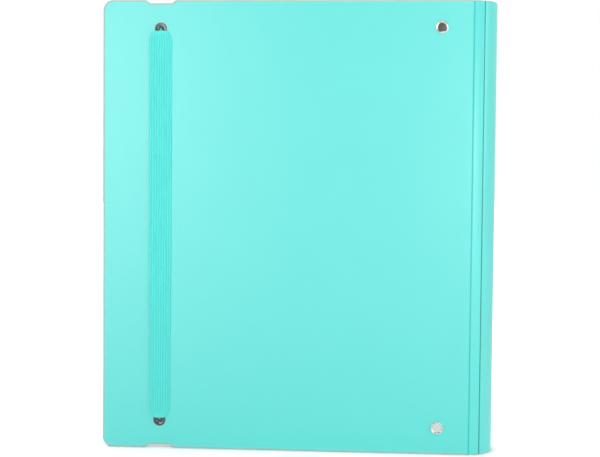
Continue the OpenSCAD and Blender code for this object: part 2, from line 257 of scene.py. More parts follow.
def colour_property(name, description, hex_colour):
    """A colour that a user may change."""
    return FloatVectorProperty(
        name=name, description=description, default=linear(hex_colour), min=0, max=1, subtype="COLOR")


class FolderSizes(bpy.types.PropertyGroup):
    """Sizes of the visible pieces that a user would change."""

    corner_r: length_property("Corner radius", "Radius of the corners at the free edges", 6.5)
    edge_round: length_property("Edge rounding", "Rounding of the cut edges of the sheet", 0.45)
    # The rim's grey colour is partly the cut's own tone and partly painted shade along the edges
    cut_w: length_property("Cut rim", "Width of the greyed rim along the cut edges of a cover", 1.17)
    notch_mouth: length_property("Notch mouth", "Width of a band notch at the edge of a cover", 20)
    notch_floor: length_property("Notch floor", "Width of a band notch at its floor", 15)
    notch_depth: length_property("Notch depth", "Depth of a band notch", 2)
    notch_round: length_property("Notch rounding", "Radius of the corners of a band notch", 1.2)
    outer_recess: length_property("Outer crease depth", "Depth of the pressed line next to a cover", 0.15)
    inner_recess: length_property("Inner crease depth", "Depth of the pressed line next to the spine", 0.1)
    ribs: IntProperty(name="Ribs", description="Number of ribs along the elastic band", default=9, min=3)
    rib_d: length_property("Rib diameter", "Diameter of a rib of the elastic band", 1.4)
    web_t: length_property("Web thickness", "Thickness of the elastic between its ribs", 0.5)
    lower_neck_w: length_property("Lower neck", "Width of the band where it climbs on the lower eyelet", 8.6)
    upper_neck_w: length_property("Upper neck", "Width of the band where it climbs on the upper eyelet", 10)
    tail_w: length_property("Tail width", "Width of the gathered band inside an eyelet", 1.6)
    lower_gather: length_property(
        "Lower gather", "Length over which the lower end of the band draws together", 8)
    upper_gather: length_property(
        "Upper gather", "Length over which the upper end of the band draws together", 5)
    eyelet_bore: length_property("Eyelet bore", "Narrowest bore of an eyelet", 1.8)
    eyelet_hole: length_property("Eyelet hole", "Hole in the cover for an eyelet", 6.2)
    dish_d: length_property("Rivet dish", "Diameter of the dish in a rivet head", 6.8)
    shank_d: length_property("Rivet shank", "Diameter of a rivet shank", 4.4)
    clinch_d: length_property("Rivet clinch", "Diameter of the clinched end of a rivet", 6.4)
    wire_d: length_property("Ring wire", "Diameter of the ring wire", 3.2)
    elbow_r: length_property("Ring elbow", "Radius of the bend between a ring and its leg", 3)
    leg_inset: length_property("Ring leg", "Distance from the middle of the housing to a ring leg", 6.3)
    stub_d: length_property("Ring stub", "Diameter of the stub of a ring in its blade", 2.4)
    peg_d: length_property("Ring peg", "Diameter of the peg at a ring tip", 1.34)
    tip_gap: length_property("Ring gap", "Gap between the tips of a closed ring", 0.3)


class FolderColours(bpy.types.PropertyGroup):
    """Colours of the finishes."""

    sheet: colour_property("Polypropylene", "Colour of the sheet", "#51e2da")
    band: colour_property("Elastic", "Colour of the elastic band", "#64efe8")
    # The cut edge's grey is partly its own tone and partly painted shade along the edges
    cut: colour_property("Cut edge", "Colour of the cut edges of the sheet", "#a6d4ce")
    # The eyelets' colour is darker than the nickel to paint the shade in and around them
    eyelet: colour_property("Eyelets", "Colour of the dark nickel of the eyelets", "#625f5e")
    nickel: colour_property("Nickel", "Colour of the nickel plate", "#dcd9d3")
    zinc: colour_property("Zinc", "Colour of the zinc plate", "#bcc0c6")
    floor: colour_property("Floor", "Colour of the studio floor", "#f4f4f4")


def add_node(tree, kind, inputs=None, **settings):
    """Adds a node with its settings, and links or sets its inputs."""
    node = tree.nodes.new(kind)
    for name, value in settings.items():
        setattr(node, name, value)
    for socket, value in (inputs or {}).items():
        if isinstance(value, Field):
            value = value.socket
        if isinstance(value, bpy.types.NodeSocket):
            tree.links.new(value, node.inputs[socket])
        else:
            node.inputs[socket].default_value = value
    return node


class Field:
    """A value in a node tree, which formulas use as they use a number."""

    def __init__(self, tree, socket):
        self.tree = tree
        self.socket = socket

    def through(self, kind, inputs=None, output=0, **settings):
        """What a node makes of this value, which goes to its first input."""
        node = add_node(self.tree, kind, {0: self, **(inputs or {})}, **settings)
        return Field(self.tree, node.outputs[output])

    def __add__(self, other):
        return self.through(MATH, {1: other}, operation="ADD")

    def __sub__(self, other):
        return self.through(MATH, {1: other}, operation="SUBTRACT")

    def __rsub__(self, other):
        return self.through(MATH, {1: -1.0, 2: other}, operation="MULTIPLY_ADD")

    def __mul__(self, other):
        return self.through(MATH, {1: other}, operation="MULTIPLY")

    def __truediv__(self, other):
        return self.through(MATH, {1: other}, operation="DIVIDE")


def new_material(name, **shader):
    """A material of that name with its tree, these values on its shader, and object coordinates."""
    made = bpy.data.materials.new(name)
    made.use_nodes = True
    tree = made.node_tree
    for socket, value in shader.items():
        tree.nodes["Principled BSDF"].inputs[socket.replace("_", " ")].default_value = value
    return made, tree, add_node(tree, "ShaderNodeTexCoord").outputs["Object"]


def grain(tree, coords, size, stretch=(1, 1, 1), detail=2.0, roughness=0.5):
    """Noise whose features measure size along each axis times its stretch, in metres."""
    scaled = add_node(tree, "ShaderNodeMapping", {"Vector": coords, "Scale": [1 / s for s in stretch]})
    noise = add_node(tree, "ShaderNodeTexNoise", {
        "Vector": scaled.outputs["Vector"], "Scale": 1 / size, "Detail": detail, "Roughness": roughness})
    return Field(tree, noise.outputs["Fac"])


def surface(made, colour, shade, gloss=None, relief=None):
    """A material with its look. Shade and gloss each give a factor and the range that it is spread over:
    the shade darkens and lightens the colour, and the gloss is the roughness. The relief is a bump."""
    tree = made.node_tree
    looks = tree.nodes["Principled BSDF"].inputs
    factor, low, high = shade
    value = factor.through(RANGE, {"To Min": low, "To Max": high})
    tint = add_node(tree, "ShaderNodeHueSaturation", {"Color": (*colour, 1), "Value": value})
    tree.links.new(tint.outputs["Color"], looks["Base Color"])
    if gloss:
        factor, low, high = gloss
        rough = factor.through(RANGE, {"To Min": low, "To Max": high})
        tree.links.new(rough.socket, looks["Roughness"])
    if relief:
        tree.links.new(relief.outputs["Normal"], looks["Normal"])
    return made


def polypropylene(colour):
    """Extruded and embossed sheet: satin gloss, faint draw lines along its length, slight clouds."""
    made, tree, coords = new_material("extruded_polypropylene", IOR=1.6, Specular_IOR_Level=1.0)
    clouds = grain(tree, coords, 45 * MM)
    draw_lines = grain(tree, coords, 1.4 * MM, stretch=(1, 1, 90))
    # The emboss is finer than a tenth of a millimetre, and is drawn coarser so that it shows
    emboss = grain(tree, coords, 0.7 * MM, detail=3)
    bump = add_node(tree, "ShaderNodeBump", {"Height": emboss, "Strength": 0.10, "Distance": 0.06 * MM})
    lined = add_node(tree, "ShaderNodeBump", {
        "Height": draw_lines, "Strength": 0.06, "Distance": 0.05 * MM, "Normal": bump.outputs["Normal"]})
    return surface(made, colour, (clouds, 0.985, 1.015), (emboss, 0.34, 0.44), lined)


def crease_sheet_with_painted_shade(name, colour, dark, light):
    """Sheet that a crease was pressed into: drawn thin and smooth, with painted shade of its groove that darkens the
    colour between these shares.
    """
    made, tree, coords = new_material(name, IOR=1.49, Specular_IOR_Level=0.08)
    drawn = grain(tree, coords, 1.2 * MM, stretch=(1, 1, 14))
    bump = add_node(tree, "ShaderNodeBump", {"Height": drawn, "Strength": 0.2, "Distance": 0.05 * MM})
    # The dark and light shares paint the shade that falls in the crease's groove
    return surface(made, colour, (drawn, dark, light), (drawn, 0.28, 0.38), bump)


def pressed_polypropylene(colour):
    """Lightly pressed crease beside a cover: a soft line, with a little painted shade of its shallow groove that makes
    it darker than the sheet.
    """
    return crease_sheet_with_painted_shade("pressed_polypropylene", colour, 0.74, 0.86)


def deeply_pressed_polypropylene(colour):
    """Hard pressed crease beside the spine: a sharp line, darkened by painted shade of its deep groove."""
    return crease_sheet_with_painted_shade("deeply_pressed_polypropylene", colour, 0.38, 0.5)


def cut_polypropylene(colour):
    """Die-cut edge of the sheet: matt, greyed partly as the cut's own tone and partly as painted shade along the
    edges, with fine tear lines.
    """
    made, tree, coords = new_material("cut_polypropylene", IOR=1.49)
    torn = grain(tree, coords, 0.4 * MM, detail=3)
    return surface(made, colour, (torn, 0.88, 1.05), (torn, 0.5, 0.7))


def woven_elastic(colour):
    """Braided elastic: matt yarn with a soft sheen, and picks across the ribs."""
    made, tree, coords = new_material(
        "woven_elastic", IOR=1.5, Sheen_Weight=0.25, Sheen_Roughness=0.45, Specular_IOR_Level=0.3)
    # The picks are 0.4 mm apart, and are drawn further apart so that they show
    pick_spacing = 1.1 * MM
    # Radians that a wave turns by along one unit
    wave_turn = 20
    pick = add_node(tree, "ShaderNodeTexWave", {
        "Vector": coords, "Scale": 2 * math.pi / (wave_turn * pick_spacing), "Distortion": 1.2,
        "Detail": 2.0, "Detail Scale": 2.0}, bands_direction="Z")
    fuzz = grain(tree, coords, 0.5 * MM, stretch=(1, 1, 3), detail=4, roughness=0.7)
    yarn = fuzz + pick.outputs["Fac"]
    bump = add_node(tree, "ShaderNodeBump", {"Height": yarn, "Strength": 0.35, "Distance": 0.12 * MM})
    return surface(made, colour, (fuzz, 0.9, 1.06), (fuzz, 0.62, 0.82), bump)


def elastic_ground(colour):
    """Thin weave between the ribs of the elastic: the same yarn, sunk, and darker as painted shade between the ribs.
    """
    made, tree, coords = new_material("elastic_ground", Roughness=0.85, Specular_IOR_Level=0.15)
    fuzz = grain(tree, coords, 0.5 * MM, stretch=(1, 1, 3), detail=3)
    return surface(made, colour, (fuzz, 0.78, 0.92))


def plated_steel(name, colour, low, high):
    """Plated steel between two roughnesses, with hairline wear and faint smudges."""
    made, tree, coords = new_material(name, Metallic=1.0)
    smudge = grain(tree, coords, 3 * MM, detail=3)
    hairline = grain(tree, coords, 0.25 * MM, stretch=(1, 1, 12), detail=2)
    bump = add_node(tree, "ShaderNodeBump", {"Height": hairline, "Strength": 0.05, "Distance": 0.02 * MM})
    return surface(made, colour, (smudge, 0.96, 1.02), (smudge, low, high), bump)


def nickel_plate(colour):
    """Bright nickel: mirror-like with a warm grey tone."""
    return plated_steel("nickel_plate", colour, 0.1, 0.2)


def dark_nickel_plate(colour):
    """Nickel of the eyelets, darkened to brown-grey as painted shade in and around them, and a little duller."""
    return plated_steel("dark_nickel_plate", colour, 0.2, 0.3)


def zinc_plate(colour):
    """Zinc plated steel strip: bluish grey, rolled along its length, with soft spangle."""
    made, tree, coords = new_material("zinc_plated_steel", Metallic=1.0)
    rolled = grain(tree, coords, 0.3 * MM, stretch=(1, 1, 60), detail=3)
    spangle = grain(tree, coords, 5 * MM, detail=1)
    bump = add_node(tree, "ShaderNodeBump", {"Height": rolled, "Strength": 0.12, "Distance": 0.03 * MM})
    return surface(made, colour, (spangle, 0.92, 1.03), (rolled, 0.26, 0.4), bump)


def studio_floor(colour):
    """Matt white paper sweep: it takes the shadow near the folder, and shows white further off."""
    made, tree, coords = new_material("paper_sweep", Specular_IOR_Level=0.0, Roughness=1.0)
    fibre = grain(tree, coords, 2 * MM)
    far = Field(tree, coords).through("ShaderNodeVectorMath", output="Value", operation="LENGTH")
    lift = far.through(RANGE, {
        "From Min": FLOOR_NEAR, "From Max": FLOOR_FAR, "To Min": FLOOR_LIFT, "To Max": 1.0},
        interpolation_type="SMOOTHSTEP")
    # Close beside the folder the floor sees less of the room, and stays darker
    nearby = add_node(tree, "ShaderNodeAmbientOcclusion", {"Distance": CONTACT_REACH})
    open_lift = Field(tree, nearby.outputs["AO"]).through(RANGE, {
        "From Min": CONTACT_DARK, "From Max": CONTACT_OPEN, "To Max": lift}, interpolation_type="SMOOTHSTEP")
    rays = add_node(tree, "ShaderNodeLightPath").outputs
    seen = Field(tree, rays["Is Camera Ray"]) * open_lift
    glow = Field(tree, rays["Is Glossy Ray"]) * FLOOR_GLOSS + seen
    tree.links.new(glow.socket, tree.nodes["Principled BSDF"].inputs["Emission Strength"])
    return surface(made, colour, (fibre, 0.995, 1.005))


FINISHES = {}


def finish_of(context, maker, colour):
    """The finish that a maker gives, made once and shared."""
    made = FINISHES.get(maker)
    if made is None:
        made = maker(getattr(context.scene.folder_colours, colour))
        FINISHES[maker] = made
    return made


def fillet(corners, steps=8):
    """Outline through corners of (first, second, radius), with an arc of that radius at each."""
    outline = []
    for i, (u, v, radius) in enumerate(corners):
        here = Vector((u, v))
        back = (Vector(corners[i - 1][:2]) - here).normalized()
        on = (Vector(corners[(i + 1) % len(corners)][:2]) - here).normalized()
        half = back.angle(on) / 2
        if radius < 1e-6 or math.pi - 2 * half < 1e-3:
            outline.append(here)
            continue
        centre = here + (back + on).normalized() * radius / math.sin(half)
        start = here + back * radius / math.tan(half) - centre
        sweep = start.angle_signed(here + on * radius / math.tan(half) - centre)
        for k in range(steps + 1):
            outline.append(centre + Matrix.Rotation(-sweep * k / steps, 2) @ start)
    return outline


def arc(centre, radius, start, end, steps):
    """Points on an arc in a plane, angles in radians."""
    turns = [start + (end - start) * k / steps for k in range(steps + 1)]
    return [Vector((centre.x + radius * math.cos(a), centre.y + radius * math.sin(a))) for a in turns]


def inset(outline, distances):
    """Moves each point of a closed outline to its left by its distance, square to the outline."""
    moved = []
    for i, (point, distance) in enumerate(zip(outline, distances)):
        before = (point - outline[i - 1]).normalized()
        after = (outline[(i + 1) % len(outline)] - point).normalized()
        left = Vector((-before.y - after.y, before.x + after.x)).normalized()
        lean = max(0.5, left.dot(Vector((-before.y, before.x))))
        moved.append(point + left * distance / lean)
    return moved


def signed_area(outline):
    """Area of an outline, positive if it runs anticlockwise."""
    return sum(a.x * b.y - b.x * a.y for a, b in zip(outline, outline[1:] + outline[:1])) / 2


def slab(outlines, low, high, rounding, place, steps=4):
    """Solid between two depths. The first outline is its outside, others are holes, and the
    rounding gives the width and depth of the rim at a point of an outline.
    Its faces have material 0 at the ends, 1 on the rims and 2 on the walls."""
    bm = bmesh.new()
    turns = [math.pi / 2 * k / steps for k in range(steps + 1)]
    ends = ([], [])
    for number, outline in enumerate(outlines):
        if (signed_area(outline) > 0) != (number == 0):
            outline = outline[::-1]
        rims = [rounding(point) for point in outline]
        rings = []
        for face, sign, order in ((low, 1, turns), (high, -1, turns[::-1])):
            for turn in order:
                moved = inset(outline, [width * (1 - math.sin(turn)) for width, depth in rims])
                depths = [face + sign * depth * (1 - math.cos(turn)) for width, depth in rims]
                rings.append([bm.verts.new(place(*p, d)) for p, d in zip(moved, depths)])
        for level, (lower, upper) in enumerate(zip(rings, rings[1:])):
            for i in range(len(outline)):
                side = bm.faces.new((lower[i - 1], lower[i], upper[i], upper[i - 1]))
                side.smooth = True
                side.material_index = 2 if level == steps else 1
        for end, ring in zip(ends, (rings[0], rings[-1])):
            end.extend(bm.edges.get((ring[i - 1], ring[i])) for i in range(len(outline)))
    for edges in ends:
        bmesh.ops.triangle_fill(bm, edges=edges, use_beauty=True)
    bmesh.ops.recalc_face_normals(bm, faces=bm.faces)
    return bm


def new_piece(name, bm, *finishes):
    """An object of a mesh with its finishes."""
    mesh = bpy.data.meshes.new(name)
    bm.to_mesh(mesh)
    bm.free()
    for finish in finishes:
        mesh.materials.append(finish)
    piece = bpy.data.objects.new(name, mesh)
    bpy.context.scene.collection.objects.link(piece)
    return piece


def settle(piece, body, slot, *nodes):
    """Lets a piece ride on a body in place of its solids."""
    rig.ride(piece, body)
    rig.slot(piece, slot)
    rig.replaces(piece, *nodes)


def upright(u, v, depth):
    """Place of a sheet that stands: across, up, and deep."""
    return Vector((u, depth, v))


def lengthwise(u, v, depth):
    """Place of a section that runs up the folder."""
    return Vector((u, v, depth))


def mirrored(u, v, depth):
    """Place of a section at the back, carried over to the front."""
    return Vector((u, 2 * MID_Y - v, depth))


def circle(centre, radius, steps=48):
    """Outline of a round hole."""
    return arc(centre, radius, 0, 2 * math.pi * (1 - 1 / steps), steps - 1)


def cover_outline(sizes):
    """Outline of a cover, across and up, with round free corners and the band notches."""
    mid = LOWER_EYELET.x
    notch = ((-sizes.notch_mouth, 0), (-sizes.notch_floor, sizes.notch_depth),
             (sizes.notch_floor, sizes.notch_depth), (sizes.notch_mouth, 0))
    lower = [(mid + u / 2, v, sizes.notch_round) for u, v in notch]
    crease = [(BACK_HIGH.x - SHEET_T, 0, 0), (BACK_HIGH.x, 0, 0)]
    half = [(BACK_LOW.x, 0, sizes.corner_r), *lower, *crease]
    return fillet(half + [(u, HEIGHT - v, radius) for u, v, radius in reversed(half)])


def cover_rounding(sizes):
    """Rim of a cover: cut along the edges, and a nose at the crease that is round but for a thin flat."""
    nose = SHEET_T * 0.98, SHEET_T * 0.49

    def rounding(point):
        return nose if point.x > BACK_HIGH.x - SHEET_T / 2 else (sizes.cut_w, sizes.edge_round)
    return rounding


class FOLDER_OT_covers(bpy.types.Operator):
    """Make the back and front covers"""
    bl_idname = "folder.make_covers"
    bl_label = "Make covers"

    def execute(self, context):
        sizes = context.scene.folder_sizes
        finish = finish_of(context, polypropylene, "sheet")
        holes = [circle(p.xz, sizes.eyelet_hole / 2) for p in (LOWER_EYELET, UPPER_EYELET)]
        holes += [circle(p.xz, sizes.shank_d / 2) for p in (LOWER_RIVET, UPPER_RIVET)]
        outline = cover_outline(sizes)
        rounding = cover_rounding(sizes)
        cut = finish_of(context, cut_polypropylene, "cut")
        back = slab([outline, *holes], BACK_LOW.y, BACK_HIGH.y, rounding, upright)
        front = slab([outline], FRONT_LOW.y, FRONT_HIGH.y, rounding, upright)
        for side, bm in (("back", back), ("front", front)):
            for face in bm.faces:
                # The nose at the crease is bent, not cut
                if face.calc_center_median().x > BACK_HIGH.x - SHEET_T:
                    face.material_index = 0
            settle(new_piece(side + "_panel", bm, finish, cut, cut), side, SHEET_SLOT, side + "_cover")
        return {"FINISHED"}


def on_strip(along):
    """Point on the middle line of the back strip, at a distance from its outer crease."""
    return OUTER_CREASE.xy + along * Vector((math.cos(STRIP_TURN), math.sin(STRIP_TURN)))


def on_spine(turn):
    """Point on the middle line of the spine, at an angle from its middle."""
    return SPINE_AXIS.xy + SPINE_R * Vector((math.cos(turn), math.sin(turn)))


def bar_outline(start, end, half, steps=1, nose_steps=10):
    """Section of a bar with round noses between two points."""
    turn = math.atan2(end.y - start.y, end.x - start.x)
    square = turn + math.pi / 2
    side = half * Vector((math.cos(square), math.sin(square)))
    outline = arc(start, half, square, square + math.pi, nose_steps)
    outline += [start.lerp(end, k / steps) - side for k in range(1, steps)]
    outline += arc(end, half, square - math.pi, square, nose_steps)
    outline += [end.lerp(start, k / steps) + side for k in range(1, steps)]
    return outline


class FOLDER_OT_spine(bpy.types.Operator):
    """Make the spine and the two strips beside it"""
    bl_idname = "folder.make_spine"
    bl_label = "Make spine"

    def execute(self, context):
        sizes = context.scene.folder_sizes
        cut = finish_of(context, cut_polypropylene, "cut")
        finishes = cut, cut, finish_of(context, polypropylene, "sheet")

        def rounding(point):
            return sizes.edge_round, sizes.edge_round

        strip = bar_outline(on_strip(CREASE_STEP), on_strip(STRIP_W), SHEET_T / 2)
        for side, place in (("back", lengthwise), ("front", mirrored)):
            piece = new_piece(side + "_strip_panel", slab([strip], 0, HEIGHT, rounding, place), *finishes)
            settle(piece, side + "_strip", SHEET_SLOT, side + "_hinge_strip")

        half = SHEET_T / 2
        outer = arc(SPINE_AXIS, SPINE_R + half, -SPINE_END, SPINE_END, 64)
        inner = arc(SPINE_AXIS, SPINE_R - half, SPINE_END, -SPINE_END, 64)
        far_nose = arc(on_spine(SPINE_END), half, SPINE_END, SPINE_END + math.pi, 10)
        near_nose = arc(on_spine(-SPINE_END), half, math.pi - SPINE_END, 2 * math.pi - SPINE_END, 10)
        section = outer + far_nose[1:-1] + inner + near_nose[1:-1]
        piece = new_piece("spine_panel", slab([section], 0, HEIGHT, rounding, lengthwise), *finishes)
        settle(piece, "spine", SHEET_SLOT, "spine")
        return {"FINISHED"}


class FOLDER_OT_creases(bpy.types.Operator):
    """Make the four creases, which bend with the pieces beside them"""
    bl_idname = "folder.make_creases"
    bl_label = "Make creases"

    def execute(self, context):
        sizes = context.scene.folder_sizes
        # Both crease finishes carry painted shade of their grooves
        soft = finish_of(context, pressed_polypropylene, "sheet")
        sharp = finish_of(context, deeply_pressed_polypropylene, "sheet")
        creases = (("outer", OUTER_CREASE.xy, on_strip(CREASE_STEP), sizes.outer_recess, soft),
                   ("inner", INNER_CREASE.xy, on_spine(-SPINE_END), sizes.inner_recess, sharp))
        rim = 0.05 * MM

        def rounding(point):
            return rim, rim

        for name, start, end, recess, finish in creases:
            section = bar_outline(start, end, SHEET_T / 2 - recess, steps=10, nose_steps=4)
            for side, place in (("back", lengthwise), ("front", mirrored)):
                web = slab([section], sizes.edge_round, HEIGHT - sizes.edge_round, rounding, place)
                piece = new_piece(side + "_" + name + "_crease", web, finish, finish, finish)
                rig.slot(piece, SHEET_SLOT)
                strip = side + "_strip"
                bodies = (side, strip) if name == "outer" else (strip, "spine")
                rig.blend(piece, *bodies, place(*start, HEIGHT / 2), place(*end, HEIGHT / 2))
        return {"FINISHED"}


def new_tree(name, **inputs):
    """Geometry node tree with named inputs, listed by kind. Gives the tree and the values of its inputs."""
    tree = bpy.data.node_groups.new(name, "GeometryNodeTree")
    for kind, labels in {"Geometry": ["Geometry"], **inputs}.items():
        for label in labels:
            tree.interface.new_socket(label, in_out="INPUT", socket_type="NodeSocket" + kind)
    tree.interface.new_socket("Geometry", in_out="OUTPUT", socket_type="NodeSocketGeometry")
    given = add_node(tree, "NodeGroupInput").outputs
    return tree, {socket.name: Field(tree, socket) for socket in given if socket.name}


def close_tree(tree, *parts):
    """Ends a tree with its parts, each a geometry and its finish, made real, welded and smooth."""
    weld_reach = 2e-6
    joined = add_node(tree, "GeometryNodeJoinGeometry")
    for geometry, finish in parts:
        real = add_node(tree, "GeometryNodeRealizeInstances", {"Geometry": geometry})
        weld = add_node(tree, "GeometryNodeMergeByDistance", {
            "Geometry": real.outputs[0], "Distance": weld_reach})
        smooth = add_node(tree, "GeometryNodeSetShadeSmooth", {"Geometry": weld.outputs[0]})
        done = add_node(tree, "GeometryNodeSetMaterial", {"Geometry": smooth.outputs[0], "Material": finish})
        tree.links.new(done.outputs[0], joined.inputs["Geometry"])
    add_node(tree, "NodeGroupOutput", {"Geometry": joined.outputs[0]})


def grown(name, seed, tree, values):
    """A plain mesh object that a tree makes from a seed mesh and values for its named inputs."""
    holder = bpy.data.objects.new(name, seed)
    bpy.context.scene.collection.objects.link(holder)
    modifier = holder.modifiers.new(name, "NODES")
    modifier.node_group = tree
    for item in tree.interface.items_tree:
        if item.in_out == "INPUT" and item.name in values:
            modifier[item.identifier] = values[item.name]
    graph = bpy.context.evaluated_depsgraph_get()
    mesh = bpy.data.meshes.new_from_object(holder.evaluated_get(graph))
    holder.modifiers.clear()
    holder.data = mesh
    mesh.name = name
    bm = bmesh.new()
    bm.from_mesh(mesh)
    bmesh.ops.recalc_face_normals(bm, faces=bm.faces)
    bm.to_mesh(mesh)
    bm.free()
    return holder


def in_a_row(tree, shape, count, first, step):
    """Copies of a shape at even steps from a first place."""
    places = add_node(tree, "GeometryNodeMeshLine", {
        "Count": count, "Start Location": first, "Offset": step})
    copies = add_node(tree, "GeometryNodeInstanceOnPoints", {
        "Points": places.outputs["Mesh"], "Instance": shape})
    return copies.outputs["Instances"]


def tubes(tree, paths, diameter, sides, shares):
    """Round tubes along paths with closed ends, as thick as their shares of the diameter."""
    section = add_node(tree, "GeometryNodeCurvePrimitiveCircle", {
        "Resolution": sides, "Radius": diameter * 0.5})
    swept = add_node(tree, "GeometryNodeCurveToMesh", {
        "Curve": paths, "Profile Curve": section.outputs["Curve"], "Scale": shares, "Fill Caps": True})
    return swept.outputs["Mesh"]


def turning_tree(finish):
    """Turns the seed profile round an axis that points out of the back cover, at two places."""
    tree, given = new_tree("turned_pair", Float=["Path Radius"], Int=["Segments"], Vector=["First", "Spread"])
    profile = add_node(tree, "GeometryNodeMeshToCurve", {"Mesh": given["Geometry"]})
    path = add_node(tree, "GeometryNodeCurvePrimitiveCircle", {
        "Resolution": given["Segments"], "Radius": given["Path Radius"]})
    lathe = add_node(tree, "GeometryNodeCurveToMesh", {
        "Curve": path.outputs["Curve"], "Profile Curve": profile.outputs["Curve"]})
    tipped = add_node(tree, "GeometryNodeTransform", {
        "Geometry": lathe.outputs["Mesh"], "Rotation": (-math.pi / 2, 0, 0)})
    pair = in_a_row(tree, tipped.outputs["Geometry"], 2, given["First"], given["Spread"])
    close_tree(tree, (pair, finish))
    return tree


def turned_pair(name, profile, closed, nodes, finish):
    """Two equal turned pieces in place of two solids. The profile gives radius and height off the cover."""
    path_r = 1 * MM
    seed = bpy.data.meshes.new(name + "_profile")
    count = len(profile)
    edges = [(i, (i + 1) % count) for i in range(count if closed else count - 1)]
    seed.from_pydata([(r - path_r, h, 0) for r, h in profile], edges, [])
    first, second = (Vector((p.x, BACK_LOW.y, p.z)) for p in map(middle, nodes))
    values = {"Path Radius": path_r, "Segments": 64, "First": first, "Spread": second - first}
    settle(grown(name, seed, turning_tree(finish), values), "back", NICKEL_SLOT, *nodes)


def bow(centre_r, centre_h, half_w, rise, start, end, steps):
    """Points on part of an ellipse of a turned profile, angles in degrees."""
    turns = [math.radians(start + (end - start) * k / steps) for k in range(steps + 1)]
    return [(centre_r + half_w * math.cos(a), centre_h + rise * math.sin(a)) for a in turns]


class FOLDER_OT_eyelets(bpy.types.Operator):
    """Make the two eyelets, rolled over on both faces of the back cover"""
    bl_idname = "folder.make_eyelets"
    bl_label = "Make eyelets"

    def execute(self, context):
        sizes = context.scene.folder_sizes
        # The eyelets take nickel darkened as painted shade
        finish = finish_of(context, dark_nickel_plate, "eyelet")
        low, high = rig.box("lower_eyelet")
        bore_r = sizes.eyelet_bore / 2
        barrel_r = sizes.eyelet_hole / 2
        outer_r = (high.x - low.x) / 2
        rise = BACK_LOW.y - low.y
        # The flange rolls over a little less than its height, and the throat is half way through the sheet
        roll = rise * 0.9
        crest_r = outer_r - roll
        throat_h = -SHEET_T / 2
        funnel = bow(crest_r, throat_h, crest_r - bore_r, rise - throat_h, 180, 90, 20)
        flange = bow(crest_r, rise - roll, roll, roll, 90, 0, 8)[1:]
        outside = [*funnel, *flange, (outer_r, 0)]
        inside = [(r, -SHEET_T - h) for r, h in reversed(outside[1:])]
        profile = outside + [(barrel_r, 0), (barrel_r, -SHEET_T)] + inside
        turned_pair("eyelet_pair", profile, True, ("lower_eyelet", "upper_eyelet"), finish)
        return {"FINISHED"}


class FOLDER_OT_rivets(bpy.types.Operator):
    """Make the two rivets with their dished heads"""
    bl_idname = "folder.make_rivets"
    bl_label = "Make rivets"

    def execute(self, context):
        sizes = context.scene.folder_sizes
        finish = finish_of(context, nickel_plate, "nickel")
        low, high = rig.box("lower_rivet")
        head_r = (high.x - low.x) / 2
        rise = BACK_LOW.y - low.y
        end = BACK_LOW.y - high.y
        dish_r = sizes.dish_d / 2
        shank_r = sizes.shank_d / 2
        clinch_r = sizes.clinch_d / 2
        clinch_t = 0.7 * MM
        crown = clinch_t * 0.7
        rim_r = (head_r + dish_r) / 2
        under_r = head_r * 0.92
        # The dish has a flat floor, and a wall that curves up to the rim
        floor_r = dish_r * 0.86
        floor_h = rise * 0.2
        wall_w = dish_r - floor_r
        wall_h = rise * 0.62
        climb = [(k / 8, (k / 8) ** 1.8) for k in range(9)]
        dish = [(floor_r * share, floor_h) for share in (0, 0.5, 0.97)]
        dish += [(floor_r + wall_w * out, floor_h + wall_h * up) for out, up in climb]
        rim = bow(rim_r, rise / 2, head_r - rim_r, rise / 2, 145, -60, 18)
        shank = [(under_r, 0), (shank_r, 0), (shank_r, end + clinch_t), (clinch_r, end + clinch_t)]
        clinch = bow(0, end + crown, clinch_r, -crown, 0, 90, 12)
        turned_pair("rivet_pair", dish + rim + shank + clinch, False, ("lower_rivet", "upper_rivet"), finish)
        return {"FINISHED"}


